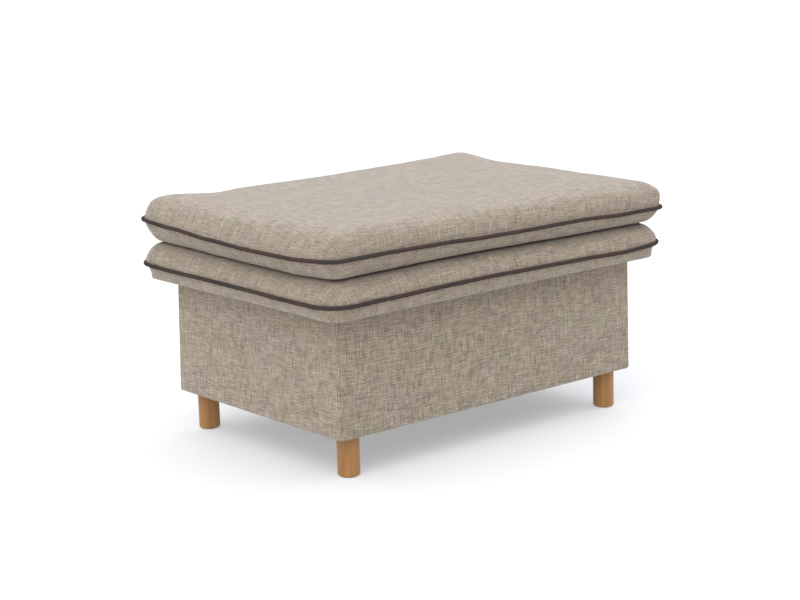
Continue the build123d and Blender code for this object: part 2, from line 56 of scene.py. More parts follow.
ahead = np.array([sin(heading) * cos(dip), cos(heading) * cos(dip), -sin(dip)])
level_right = np.cross(ahead, (0, 0, 1))
level_right /= np.linalg.norm(level_right)
level_up = np.cross(level_right, ahead)
turned = np.eye(4)
turned[:3, 0] = cos(roll) * level_right + sin(roll) * level_up
turned[:3, 1] = cos(roll) * level_up - sin(roll) * level_right
turned[:3, 2] = -ahead
turned[:3, 3] = camera_place

camera = bpy.data.objects.new("camera", bpy.data.cameras.new("camera"))
camera.data.sensor_width = film_width
camera.data.lens = focal_length
camera.matrix_world = Matrix(turned.tolist())
bpy.context.scene.collection.objects.link(camera)
bpy.context.scene.camera = camera


# The studio: a glowing white floor, a pale surround, a soft lamp overhead, and a soft key
# lamp in front on the left, which puts each overhang's shadow on what is below it.
def node(tree, kind, inputs=None, **settings):
    """Adds a shader node. An input is a value, or the socket of another node."""
    made = tree.nodes.new("ShaderNode" + kind)
    for name, value in settings.items():
        setattr(made, name, value)
    for name, value in (inputs or {}).items():
        if isinstance(value, bpy.types.NodeSocket):
            tree.links.new(value, made.inputs[name])
        else:
            made.inputs[name].default_value = value
    return made


def material(name, **sockets):
    """A Principled material, its tree and its shader, with these values on its sockets."""
    made = bpy.data.materials.new(name)
    made.use_nodes = True
    shader = made.node_tree.nodes["Principled BSDF"]
    for socket, value in sockets.items():
        shader.inputs[socket.replace("_", " ")].default_value = value
    return made, made.node_tree, shader


reach = 30
floor_mesh = bpy.data.meshes.new("floor")
floor_corners = [(x * reach, y * reach, 0) for x, y in ((-1, -1), (1, -1), (1, 1), (-1, 1))]
floor_mesh.from_pydata(floor_corners, [], [(0, 1, 2, 3)])
floor = bpy.data.objects.new("floor", floor_mesh)
bpy.context.scene.collection.objects.link(floor)
floor_paint, _, _ = material(
    "floor_white", Base_Color=(0.5, 0.5, 0.5, 1), Roughness=1, Specular_IOR_Level=0,
    Emission_Color=(1, 1, 1, 1), Emission_Strength=0.38,
)
floor_mesh.materials.append(floor_paint)

surround = bpy.data.worlds.new("surround")
surround.use_nodes = True
surround_light = surround.node_tree.nodes["Background"].inputs
surround_light["Color"].default_value = (1, 1, 1, 1)
surround_light["Strength"].default_value = 0.3
bpy.context.scene.world = surround

for name, towards_stool, strength, spread, tint in (
    ("top_lamp", (-0.2, -0.1, -1), 3.5, 120, (0.96, 1, 1.09)),
    ("key_lamp", (0.74, 0.38, -0.57), 1.3, 50, (1, 0.97, 0.95)),
):
    lamp = bpy.data.objects.new(name, bpy.data.lights.new(name, "SUN"))
    lamp.data.energy, lamp.data.angle, lamp.data.color = strength, radians(spread), tint
    lamp.rotation_euler = Vector(towards_stool).to_track_quat("-Z", "Y").to_euler()
    bpy.context.scene.collection.objects.link(lamp)
bpy.context.scene.view_settings.view_transform = "Standard"


# The legs: four turned cylinders of clear-lacquered beech, eased at the foot, each on a
# felt glide and held by a bolt in a threaded insert.
mm = 0.001


def stretched_noise(tree, place, per_metre, detail, layer=0, turn=0, **inputs):
    """Noise with this many cells per metre along each axis, turned about Z, and taken from
    a layer of its own."""
    placed = {"Vector": place, "Location": (0, 0, layer), "Rotation": (0, 0, turn), "Scale": per_metre}
    placed = node(tree, "Mapping", placed).outputs[0]
    return node(tree, "TexNoise", {"Vector": placed, "Scale": 1, "Detail": detail, **inputs}).outputs[0]


def ramp(tree, value, low, high):
    """0 below low, 1 above high, and even between them."""
    return node(tree, "MapRange", {"Value": value, "From Min": low, "From Max": high}).outputs[0]


def mixed(tree, amount, first, second, **settings):
    """A colour between two, each of them three numbers or the socket of another node."""
    first, second = (
        colour if isinstance(colour, bpy.types.NodeSocket) else (*colour, 1) for colour in (first, second)
    )
    return node(tree, "Mix", {0: amount, 6: first, 7: second}, data_type="RGBA", **settings).outputs[2]


def emboss(tree, shader, height, strength, depth):
    """Gives a material relief, this deep between heights 0 and 1."""
    relief = node(tree, "Bump", {"Height": height, "Strength": strength, "Distance": depth})
    tree.links.new(relief.outputs[0], shader.inputs["Normal"])


def wood(name, tone, dark_tone, grain, fleck):
    """Long soft bands of grain with short dark flecks, each a stretched noise with cells
    per metre along X, Y and Z. The darker of the two shows."""
    made, tree, shader = material(name, Roughness=0.42, Specular_IOR_Level=0.4)
    place = node(tree, "TexCoord").outputs["Object"]
    bands = ramp(tree, stretched_noise(tree, place, grain, 4, Distortion=0.4), 0.35, 0.68)
    flecks = ramp(tree, stretched_noise(tree, place, fleck, 1), 0.6, 0.72)
    both = node(tree, "Math", {0: bands, 1: flecks}, operation="MAXIMUM").outputs[0]
    tree.links.new(mixed(tree, both, tone, dark_tone), shader.inputs["Base Color"])
    emboss(tree, shader, both, 0.15, 0.3 * mm)
    return made


def finish_nodes(made, *names):
    """Gives CAD pieces their material."""
    for name in names:
        materials = frame["nodes"][name].data.materials
        materials.clear()
        materials.append(made)


beech = wood("beech", (0.41, 0.205, 0.068), (0.29, 0.135, 0.042), (90, 90, 5), (700, 700, 120))
finish_nodes(beech, "leg_front_left", "leg_front_right", "leg_rear_left", "leg_rear_right")


# The box inside its cover: four pine boards and a floor on battens, with a block for each
# leg, glued and screwed. The board in the lid is of the same pine.
pine = wood("pine_board", (0.62, 0.47, 0.30), (0.50, 0.35, 0.20), (5, 60, 60), (90, 500, 500))
finish_nodes(
    pine, "front_panel", "back_panel", "left_panel", "right_panel", "floor_panel", "floor_battens",
    "leg_blocks", "lid_board",
)


# The screws, bolts, hinges and stays: zinc-plated steel, finely brushed along X. The
# sliders that run in the stays' tracks are moulded nylon.
zinc, tree, shader = material("zinc", Metallic=1, Roughness=0.38, Base_Color=(0.58, 0.58, 0.59, 1))
place = node(tree, "TexCoord").outputs["Object"]
scratches = stretched_noise(tree, place, (60, 2500, 2500), 3)
rough = node(tree, "MapRange", {"Value": scratches, "To Min": 0.28, "To Max": 0.5})
tree.links.new(rough.outputs[0], shader.inputs["Roughness"])
emboss(tree, shader, scratches, 0.1, 0.1 * mm)
subparts = frame["record"]["subparts"]
finish_nodes(zinc, *(part["node"] for part in subparts if part["material_slot"] == "steel"))

nylon, tree, shader = material("nylon", Roughness=0.5, Base_Color=(0.82, 0.82, 0.8, 1))
place = node(tree, "TexCoord").outputs["Object"]
cloud = node(tree, "TexNoise", {"Vector": place, "Scale": 900, "Detail": 2})
emboss(tree, shader, cloud.outputs[0], 0.1, 0.1 * mm)
finish_nodes(nylon, "stay_slider_left", "stay_slider_right")


# The bumpers on the rim and the glides under the legs: grey wool felt, punched out and
# glued on.
def fibres(name, tone, cells_per_metre):
    """Matted fibres: a fine noise, both in relief and from a darker to a paler tone."""
    made, tree, shader = material(name, Roughness=1, Specular_IOR_Level=0.1)
    place = {"Vector": node(tree, "TexCoord").outputs["Object"]}
    fuzz = node(tree, "TexNoise", {**place, "Scale": cells_per_metre, "Detail": 4, "Roughness": 0.7})
    dark, pale = ([share * part for part in tone] for share in (0.6, 1.4))
    tree.links.new(mixed(tree, fuzz.outputs[0], dark, pale), shader.inputs["Base Color"])
    emboss(tree, shader, fuzz.outputs[0], 0.5, 0.5 * mm)
    return made


finish_nodes(fibres("felt", (0.16, 0.15, 0.14), 1800), "rim_bumpers", "leg_glides")


# The upholstery fabric: a greige linen-look plain weave. Every yarn has its own shade,
# which drifts along it from dark to pale, and the dye varies in soft olive and rosy patches.
# The gaps between the threads get painted shade. The pads' copy of the cloth is painted a
# little darker and flatter for the light on the pads, and its rosier patches are partly dye
# and partly painted rosy light reflected between the pads.
threads_per_metre = 330


def linen(name, tones, patch_tones):
    """The weave follows the piece's own UV map, which is in metres of flat cloth."""
    made, tree, shader = material(
        name, Roughness=0.95, Specular_IOR_Level=0.15,
        Sheen_Weight=0.3, Sheen_Roughness=0.5, Sheen_Tint=(0.88, 0.96, 1, 1),
    )
    cloth = node(tree, "UVMap", uv_map="cloth").outputs[0]

    def combined(kind, a, b=0):
        """One step of arithmetic on two values."""
        return node(tree, "Math", {0: a, 1: b}, operation=kind).outputs[0]

    def moved(kind, a, inputs):
        """One step of arithmetic on a vector."""
        return node(tree, "VectorMath", {0: a, **inputs}, operation=kind).outputs[0]

    def between(amount, first, second):
        """A value between two."""
        return node(tree, "Mix", {0: amount, 2: first, 3: second}).outputs[0]

    def noise(place, per_metre, layer, low, high, detail=2):
        """Noise in a layer of its own, from 0 below low to 1 above high."""
        return ramp(
            tree, stretched_noise(tree, place, (*per_metre, 1), detail, layer, Roughness=0.6), low, high
        )

    # The yarns wander a little from their straight lines.
    wander = node(tree, "TexNoise", {"Vector": cloth, "Scale": 90, "Detail": 2}).outputs["Color"]
    wander = moved("SCALE", moved("SUBTRACT", wander, {1: (0.5, 0.5, 0.5)}), {"Scale": 3 * mm})
    cloth = moved("ADD", cloth, {1: wander})

    # Warp and weft take turns on top, as on a draughtboard.
    across = node(tree, "SeparateXYZ", {0: cloth})
    x, y = across.outputs[0], across.outputs[1]
    warp_place = combined("MULTIPLY", x, threads_per_metre)
    weft_place = combined("MULTIPLY", y, threads_per_metre)
    warp_number, weft_number = combined("FLOOR", warp_place), combined("FLOOR", weft_place)
    warp_on_top = combined("PINGPONG", combined("ADD", warp_number, weft_number), 1)

    # Each yarn's shade is noise that is slow along the yarn and new on the next one.
    drift_along, step_across = 34, 1.37
    warp = node(tree, "CombineXYZ", {0: warp_number, 1: y}).outputs[0]
    weft = node(tree, "CombineXYZ", {0: x, 1: weft_number}).outputs[0]
    warp_shade = noise(warp, (step_across, drift_along), 1, 0.3, 0.7, 1)
    weft_shade = noise(weft, (drift_along, step_across), 2, 0.3, 0.7, 1)
    shade = between(warp_on_top, weft_shade, warp_shade)

    # A quarter of the shade is small knots, which cross from one yarn to the next.
    knots = noise(cloth, (430, 430), 5, 0.3, 0.7)
    shade = between(0.25, shade, knots)

    def rounded_over(place):
        """The rounded back of each thread across its width: the size of a sine."""
        return combined("ABSOLUTE", combined("SINE", combined("MULTIPLY", place, pi)))

    # The gaps between the threads are darker than their backs: painted shade in the hollows between the
    # threads.
    backs = between(warp_on_top, rounded_over(weft_place), rounded_over(warp_place))
    painted_gap_shade = combined("MULTIPLY", combined("SUBTRACT", backs, 1), 0.3)
    shade = combined("ADD", shade, painted_gap_shade)

    # The dye's patches are streaks along the warp and the weft, and broad clouds.
    patches = noise(cloth, (24, 9), 3, 0.38, 0.62), noise(cloth, (9, 24), 4, 0.38, 0.62)
    patches = combined("MULTIPLY", combined("ADD", *patches), 0.5)
    broad = noise(cloth, (6, 6), 8, 0.45, 0.65)
    tint = mixed(tree, combined("MAXIMUM", patches, broad), *patch_tones)
    colour = mixed(tree, 1.0, mixed(tree, shade, *tones), tint, blend_type="MULTIPLY")
    tree.links.new(colour, shader.inputs["Base Color"])
    emboss(tree, shader, combined("ADD", backs, shade), 0.25, 0.5 * mm)
    return made


box_linen = linen(
    "box_linen", ((0.16, 0.132, 0.096), (0.548, 0.462, 0.354)), ((0.985, 1.01, 0.955), (1.03, 0.985, 1.02))
)
# The pads' linen is the box's cloth with painted shade: a little darker and of less contrast for the light on
# the pads. Its rosier patches are partly dye and partly painted rosy light reflected between the pads.
pad_linen_painted_light = linen(
    "pad_linen_painted_light", ((0.178, 0.147, 0.109), (0.492, 0.413, 0.319)), ((0.98, 1.01, 0.955), (1.045, 0.97, 0.995))
)


# The box's cover: the fabric over a thin wadding, drawn tight round the four boards,
# turned in over the rim and under the bottom, and sewn together at the four corners.
def corners(table):
    """The four corner values of every cell of a table, in turn round the cell."""
    cells = [table[:-1, :-1], table[:-1, 1:], table[1:, 1:], table[1:, :-1]]
    return np.stack(cells, 2).reshape(-1, 4, *table.shape[2:])


def closed_grid(rows, columns):
    """The point numbers of a grid whose last row and column lead back to the first ones."""
    index = np.arange(rows * columns).reshape(rows, columns)
    index = np.vstack([index, index[:1]])
    return np.hstack([index, index[:, :1]])


def new_piece(name, points, faces, flat):
    """A piece from its points, its faces and the place of each face corner in the cloth."""
    mesh = bpy.data.meshes.new(name)
    mesh.from_pydata(points.tolist(), [], faces.tolist())
    mesh.uv_layers.new(name="cloth").data.foreach_set("uv", flat.ravel())
    mesh.shade_smooth()
    piece = bpy.data.objects.new(name, mesh)
    bpy.context.scene.collection.objects.link(piece)
    return piece


def bump_at(distance, width):
    """A soft bump of height 1: the bell curve, whose spread is this width."""
    return np.exp(-(distance / width) ** 2)


body_low, body_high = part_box("body_cover")
board_low, board_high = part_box("front_panel")
body_half_x, body_half_y = body_high.x, body_high.y
body_corner_radius = 8 * mm
cover_depth = body_high.x - board_high.x
turned_under = body_high.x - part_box("lining")[1].x
rim_turned_in = turned_under + 0.8 * mm

# Round the box: a rounded rectangle, given by bend centres, by outward directions, by the
# distance from the seam in the middle of a bend, and by the share of the side run.
bend_steps, run_steps, wall_steps = 24, 60, 30
quarter = pi / 2
bend_angles = np.linspace(0, quarter, bend_steps + 1)
flat_x, flat_y = body_half_x - body_corner_radius, body_half_y - body_corner_radius
centres, angles, seam_distance, side_share = [], [], [], []
bend_centres = np.array([(flat_x, flat_y), (-flat_x, flat_y), (-flat_x, -flat_y), (flat_x, -flat_y)])
for turn in range(4):
    here, there = bend_centres[turn], bend_centres[(turn + 1) % 4]
    share = np.linspace(0, 1, run_steps + 1)[1:-1]
    centres += [np.repeat([here], bend_steps + 1, 0), here + share[:, None] * (there - here)]
    angles += [turn * quarter + bend_angles, np.full(run_steps - 1, (turn + 1) * quarter)]
    seam_distance += [(bend_angles - quarter / 2) * body_corner_radius, np.full(run_steps - 1, 1.0)]
    side_share += [np.zeros(bend_steps + 1), share]
centres, angles = np.vstack(centres), np.concatenate(angles)
seam_distance, side_share = np.concatenate(seam_distance), np.concatenate(side_share)
outward = np.stack([np.cos(angles), np.sin(angles)], 1)

# The section, from inside the rim over the outer face to the inner edge underneath:
# how far out of the face a row lies, and its level.
edge_round = 4 * mm
bend = np.linspace(0, quarter, 7)
wall_top, wall_foot = body_high.z - edge_round, body_low.z + edge_round
out_rows = np.concatenate([
    [-rim_turned_in, -rim_turned_in], -edge_round + edge_round * np.sin(bend), np.zeros(wall_steps - 1),
    -edge_round + edge_round * np.cos(bend), [-turned_under, -turned_under, -cover_depth, -cover_depth],
])
level_rows = np.concatenate([
    [board_high.z, body_high.z], wall_top + edge_round * np.cos(bend),
    np.linspace(wall_top, wall_foot, wall_steps + 1)[1:-1], wall_foot - edge_round * np.sin(bend),
    [body_low.z, board_low.z, board_low.z, board_high.z],
])

# The outer face isn't flat. It swells by a half sine over its height and along each side,
# flares towards the foot, leans on the left side, and has a groove with a ridge beside it at
# each corner seam.
height_share = np.clip((level_rows - body_low.z) / (body_high.z - body_low.z), 0, 1)
on_face = out_rows > -edge_round * 1.01
swell = 0.9 * mm * np.sin(pi * height_share) * on_face
flare = 2 * mm * (1 - height_share) * on_face
left_lean = 2.5 * mm * ((1 - 2 * height_share) * on_face)[:, None] * np.clip(-outward[:, 0], 0, 1)
ridge, groove = bump_at(seam_distance - 2.1 * mm, 1.2 * mm), bump_at(seam_distance, 0.8 * mm)
seam = (1.4 * ridge - 1.6 * groove) * mm
extra = left_lean + flare[:, None] + swell[:, None] * np.sin(pi * side_share) ** 0.5
extra = extra + on_face[:, None] * seam

row_radius = np.maximum(body_corner_radius + out_rows, 1 * mm)
flat_rows_x, flat_rows_y = (half + out_rows - row_radius for half in (body_half_x, body_half_y))
out = row_radius[:, None] + extra
points = np.dstack([
    flat_rows_x[:, None] * centres[:, 0] / flat_x + out * outward[:, 0],
    flat_rows_y[:, None] * centres[:, 1] / flat_y + out * outward[:, 1],
    np.repeat(level_rows[:, None], len(centres), 1),
])

# The flat cloth: the way round on a row of the face, and the way down the section.
wall_row = len(bend) + 10
face_line = points[wall_row]
around = np.concatenate([[0], np.cumsum(np.linalg.norm(np.diff(face_line, axis=0), axis=1)), [0]])
around[-1] = around[-2] + np.linalg.norm(face_line[0] - face_line[-1])
down_steps = np.hypot(np.diff(out_rows, append=out_rows[0]), np.diff(level_rows, append=level_rows[0]))
down = np.concatenate([[0], np.cumsum(down_steps)])
flat = np.dstack(np.broadcast_arrays(around[None, :], -down[:, None]))
index = closed_grid(*points.shape[:2])
box_cover = new_piece("box_cover", points.reshape(-1, 3), corners(index)[:, ::-1], corners(flat)[:, ::-1])
box_cover.data.materials.append(box_linen)
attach(box_cover, "base")
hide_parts("body_cover", "wadding")


# The pads: cushions of foam in two fabric panels each, joined on a dark piping at mid
# height. The lower one is drawn over the lid board and stapled under it.
def ring_place(share_x, share_y, half_x, half_y, radius):
    """Where points lie on rounded rectangles. One share is -1 or 1 and names the side, the
    other runs along it by length and ends at the middle of the bends."""
    def along(share, half):
        """From the middle of a side: distance on the straight run, and angle into the bend."""
        run = half - radius
        length = np.abs(share) * (run + radius * quarter / 2)
        return np.sign(share) * np.minimum(length, run), np.sign(share) * np.maximum(length - run, 0) / radius

    on_end = np.abs(share_x) > np.abs(share_y) - 1e-9
    run_y, turn_y = along(share_y, half_y)
    run_x, turn_x = along(share_x, half_x)
    end_x = np.sign(share_x) * (half_x - radius + radius * np.cos(turn_y))
    side_y = np.sign(share_y) * (half_y - radius + radius * np.cos(turn_x))
    x = np.where(on_end, end_x, run_x + radius * np.sin(turn_x))
    y = np.where(on_end, run_y + radius * np.sin(turn_y), side_y)
    return x, y


def seam_wave(share_x, share_y, rises):
    """How much a seam lies above its level. Rises are given along each side, from share -1
    to 1, at even distances, and a smooth step leads from each to the next."""
    def along(share, values):
        place = (share + 1) / 2 * (len(values) - 1)
        before = np.clip(np.floor(place).astype(int), 0, len(values) - 2)
        step = place - before
        values = np.array(values)
        return values[before] + (values[before + 1] - values[before]) * step * step * (3 - 2 * step)

    ends = np.where(share_x < 0, along(share_y, rises["left"]), along(share_y, rises["right"]))
    sides = np.where(share_y < 0, along(share_x, rises["front"]), along(share_x, rises["back"]))
    return np.where(np.abs(share_x) > np.abs(share_y) - 1e-9, ends, sides) * mm


def corner_share(share_x, share_y, bends):
    """The value of the nearest corner: front left, front right, rear right, rear left."""
    at_front = np.where(share_x < 0, bends[0], bends[1])
    return np.where(share_y < 0, at_front, np.where(share_x < 0, bends[3], bends[2]))


def rounded(rows, cuts=3):
    """A line through these rows whose corners are cut off, each at a quarter of the way to
    its neighbours, again and again."""
    for _ in range(cuts):
        before, after = rows[:-1], rows[1:]
        cut = np.stack([0.75 * before + 0.25 * after, 0.25 * before + 0.75 * after], 1)
        rows = np.vstack([rows[:1], cut.reshape(-1, rows.shape[1])[1:-1], rows[-1:]])
    return rows


ring_count = 40


def closer_at_corners(share):
    """Moves even steps along a side towards its two ends, where the cloth gathers."""
    return share * (1 + 0.3 * (1 - share**2))


def panel(half_x, half_y, columns, rows, seam_level, bends, profile, rises, edge_rises):
    """One panel of a pad as a grid whose cells lie in rings round the seam. A profile row
    is, in mm: ring, inset, rise over the seam, corner radius, share of the seam's wave,
    draw-in, share of the wave of the panel's other edge. The draw-in pulls a side in by a
    parabola between its corners. Each corner's radius has its own share."""
    i, j = np.meshgrid(np.arange(columns + 1), np.arange(rows + 1), indexing="ij")
    ring = np.minimum(np.minimum(i, columns - i), np.minimum(j, rows - j))
    share_x = closer_at_corners((i - columns / 2) / (columns / 2 - ring))
    share_y = closer_at_corners((j - rows / 2) / np.maximum(rows / 2 - ring, 1))
    share_y[2 * ring == rows] = 1
    line = rounded(np.array(profile, float))
    inset, rise, radius, wave, draw, edge_wave = (
        np.interp(np.arange(rows // 2 + 1), line[:, 0], line[:, column]) for column in range(1, 7)
    )
    inset, rise, radius, draw = inset * mm, rise * mm, radius * mm, draw * mm
    a, b = half_x - inset[ring], half_y - inset[ring]
    r = np.minimum(radius[ring] * corner_share(share_x, share_y, bends), 0.98 * b)
    r = np.clip(r, 1e-6, None)
    x, y = ring_place(share_x, share_y, a, b, r)
    on_end = np.abs(share_x) > np.abs(share_y) - 1e-9
    x = x - np.where(on_end, np.sign(share_x) * draw[ring] * (1 - share_y**2), 0)
    y = y - np.where(on_end, 0, np.sign(share_y) * draw[ring] * (1 - share_x**2))
    z = seam_level + rise[ring] + wave[ring] * seam_wave(share_x, share_y, rises)
    z += edge_wave[ring] * seam_wave(share_x, share_y, edge_rises)

    # The marks: distance along the side, share of the bend left to the corner, and
    # distance from the seam.
    arc = np.concatenate([[0], np.cumsum(np.hypot(np.diff(inset), np.diff(rise)))])
    half, share = np.where(on_end, b, a), np.where(on_end, share_y, share_x)
    bend_length = r * quarter / 2
    to_corner = (1 - np.abs(share)) * (half - r + bend_length)
    side = np.where(on_end, 1, -1) * np.sign(share_x) * np.sign(share_y)
    marks = np.dstack([share * half, np.clip(to_corner / bend_length, 0, 2) * side, arc[ring]])
    spare = arc[-1] - inset[-1] - arc + inset
    near_corner = 90 * mm

    def eased(place, half):
        """The spare cloth of the side, let in along the last stretch before the corner."""
        step = np.clip((np.abs(place) - half + near_corner) / near_corner, 0, 1)
        return place + np.sign(place) * spare[ring] * step * step * (3 - 2 * step)

    flat = np.dstack([eased(x, a), eased(y, b)])
    return np.dstack([x, y, z]), flat, ring, marks


def gathers(along, bend, away):
    """How deep the sewing draws the cloth in: pleats that fan out from a corner, each a
    bump, and faint ripples along the runs, a sine of a sine. Both fade with the distance
    from the seam."""
    pleats = sum(
        depth * bump_at(bend - place, 0.1)
        for place, depth in ((-0.85, 0.7), (-0.5, 1.1), (-0.18, 0.8), (0.12, 1.2), (0.45, 0.9), (0.8, 1.0))
    )
    ripples = 0.3 * np.sin(2 * pi * along / (19 * mm) + 3 * np.sin(2 * pi * along / (131 * mm)))
    return mm * (pleats * bump_at(away, 24 * mm) + ripples * bump_at(away, 14 * mm))


def two_panels(
    name, half_x, half_y, seam_level, top_profile, bottom_profile, rises, top_rises, bottom_rises,
    lean=0, bends=(1, 1, 1, 1),
):
    """A closed piece of two panels that share their outer ring. Also gives the ring number,
    which is negative below, and the marks of every point."""
    rows = 2 * ring_count
    cell = 2 * half_y / rows
    columns = rows + 2 * round((half_x - half_y) / cell)
    size = half_x, half_y, columns, rows, seam_level, bends
    top, top_flat, ring, top_marks = panel(*size, top_profile, rises, top_rises)
    bottom, bottom_flat, _, bottom_marks = panel(*size, bottom_profile, rises, bottom_rises)
    # The shoulder's rings lean to the right, and neither the seam nor the middle does.
    top[..., 0] += lean * np.interp(ring, (0, 8, 14, 26), (0, 1, 1, 0))
    index = np.arange(ring.size).reshape(ring.shape)
    under = np.zeros_like(index)
    under[ring > 0] = ring.size + np.arange(np.count_nonzero(ring > 0))
    under[ring == 0] = index[ring == 0]
    points = np.vstack([top.reshape(-1, 3), bottom[ring > 0]])
    faces = np.vstack([corners(index)[:, ::-1], corners(under)])
    flat = np.vstack([corners(top_flat)[:, ::-1], corners(bottom_flat)])
    rings = np.concatenate([ring.ravel(), -ring[ring > 0]])
    marks = np.vstack([top_marks.reshape(-1, 3), bottom_marks[ring > 0]])
    return new_piece(name, points, faces, flat), rings, marks


def vectors(rows, what):
    """A vector of every vertex or attribute row, such as its place, as an array."""
    values = np.empty(3 * len(rows))
    rows.foreach_get(what, values)
    return values.reshape(-1, 3)


def put_points(mesh, places):
    """Moves all points of a mesh."""
    mesh.vertices.foreach_set("co", places.ravel())
    mesh.update()


def fill_out(piece, held, cap):
    """The cloth swells under the stuffing's pressure, except where it is held. No point
    moves further than the cap: its way is the cap times the hyperbolic tangent of its free
    way over the cap."""
    pressing_frames = 20
    group = piece.vertex_groups.new(name="held")
    group.add(np.flatnonzero(held).tolist(), 1, "REPLACE")
    cloth = piece.modifiers.new("cloth", "CLOTH")
    cloth.settings.quality = 6
    cloth.settings.mass = 0.01
    cloth.settings.shrink_min = -0.01
    cloth.settings.vertex_group_mass = "held"
    cloth.settings.use_pressure = True
    cloth.settings.uniform_pressure_force = 20
    cloth.settings.effector_weights.gravity = 0
    cloth.point_cache.frame_start, cloth.point_cache.frame_end = 1, pressing_frames
    for step in range(1, pressing_frames + 1):
        bpy.context.scene.frame_set(step)
    rest = vectors(piece.data.vertices, "co")
    settled = piece.evaluated_get(bpy.context.evaluated_depsgraph_get())
    move = vectors(settled.data.vertices, "co") - rest
    length = np.maximum(np.linalg.norm(move, axis=1, keepdims=True), 1e-9)
    move *= cap * np.tanh(length / cap) / length
    piece.modifiers.remove(cloth)
    piece.vertex_groups.remove(group)
    put_points(piece.data, rest + move)
    bpy.context.scene.frame_set(1)


def pad(*shape, top_held, bottom_held, cap, lean=0, bends=(1, 1, 1, 1)):
    """A closed pad of two panels on one seam, filled out by the pressure of its stuffing.
    Its panels are held at the seam, and from these rings inwards."""
    piece, rings, marks = two_panels(*shape, lean, bends)
    held = (rings == 0) | (rings >= top_held) | (-rings >= bottom_held)
    fill_out(piece, held, cap)
    piece.data.attributes.new("marks", "FLOAT_VECTOR", "POINT").data.foreach_set("vector", marks.ravel())
    smoother = piece.modifiers.new("smoother", "SUBSURF")
    smoother.levels = smoother.render_levels = 1
    smooth = bpy.data.meshes.new_from_object(piece.evaluated_get(bpy.context.evaluated_depsgraph_get()))
    piece.modifiers.clear()
    piece.data = smooth
    places, normals = vectors(smooth.vertices, "co"), vectors(smooth.vertices, "normal")
    depth = gathers(*vectors(smooth.attributes["marks"].data, "vector").T)
    put_points(smooth, places - depth[:, None] * normals)
    smooth.attributes.remove(smooth.attributes["marks"])
    smooth.update()
    smooth.materials.append(pad_linen_painted_light)
    return piece


# The waves are in mm, from left to right along the front and back, and from front to rear
# along the ends. The crease is where the two pads touch.
lid_board_low, lid_board_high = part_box("lid_board")
lid_cloth_low, lid_cloth_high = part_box("lid_underside_cloth")
lower_piping_low, lower_piping_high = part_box("lower_pad_piping")
lower_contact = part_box("hook_strips")[0].z
lower_seam = (lower_piping_low.z + lower_piping_high.z) / 2
seam_inset = 7 * mm
lower_half_x, lower_half_y = lower_piping_high.x - seam_inset, lower_piping_high.y - seam_inset
lower_rises = {
    "front": (-2.2, 0, 2.4, 3.5, 2.2, 0.8, -2.2, 2.5), "back": (3, 1, -1, 0, 1.5, 2.5),
    "left": (-2.2, -2.5, -0.5, 0.5, 0.4, 3), "right": (2.5, -1, 0.5, 1, 2.5),
}
under_rises = {
    "front": (-2.5, 0.5, 0, 1, 2.5, 3, 3, 3), "back": (0, 0),
    "left": (-2.5, 0, 0, 0, 0, 0), "right": (3, 2, 0, 0),
}
crease_rises = {
    "front": (-1, 0.5, 2, 2, 0.5, -1, -1, -1), "back": (2, 0, 0),
    "left": (-1, -6, -5, -3.5, 0, 2), "right": (-1, 0, 0, 0),
}
lower_bends = (1, 1.08, 1, 1)
under = (lid_cloth_low.z - lower_seam) / mm
pocket = (lower_half_x - lid_board_high.x) / mm - 0.4
board_under = (lid_board_low.z - lower_seam) / mm - 0.1
board_over = (lid_board_high.z - lower_seam) / mm + 0.4
window = (lower_half_x - lid_cloth_high.x) / mm - 0.1
lower_top = (lower_contact - lower_seam) / mm
lower_middle = lower_half_y / mm
lower_pad = pad(
    "lower_pad", lower_half_x, lower_half_y, lower_seam,
    [
        (0, 0, 0, 53, 1, 0, 0),
        (3, -1, 9, 53, 0.8, 0.5, 0),
        (6, 3, 20, 51, 0.5, 1.5, 0.3),
        (9, 12, 33, 46, 0.2, 3, 0.8),
        (11, 21, 40.5, 41, 0, 4, 1),
        (13, 31, lower_top - 1, 36, 0, 4, 1),  # the crease under the upper pad
        (15, 44, lower_top, 32, 0, 3, 0.6),
        (17, 60, lower_top, 30, 0, 2, 0),
        (ring_count, lower_middle, lower_top, 0, 0, 0, 0),
    ],
    [
        (0, 0, 0, 53, 1, 0, 0),
        (3, 4, -10, 52, 0.7, 0, 0.3),
        (6, 9, -20, 43, 0.3, 0, 0.7),
        (8, 11, under + 1.6, 36, 0, 0, 1),  # round the lid board's lower edge
        (9, 13, under - 0.4, 32, 0, 0, 0.8),
        (10, 15.5, under - 0.8, 28, 0, 0, 0.3),
        (12, 28, under, 20, 0, 0, 0),
        (14, 50, under, 20, 0, 0, 0),
        (18, window, under, 8, 0, 0, 0),  # the raw edge, stapled to the board
        (19, window, board_under, 8, 0, 0, 0),
        (23, 60, board_under, 30, 0, 0, 0),
        (25, pocket, board_under, 40, 0, 0, 0),  # the cloth's inner side, round the board's edge
        (27, pocket, board_over, 40, 0, 0, 0),
        (ring_count, lower_middle, board_over, 0, 0, 0, 0),
    ],
    lower_rises, crease_rises, under_rises, top_held=13, bottom_held=9, cap=4 * mm, bends=lower_bends,
)
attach(lower_pad, "lid")
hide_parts("lower_pad_foam", "lower_pad_top_cover", "lower_pad_bottom_cover")

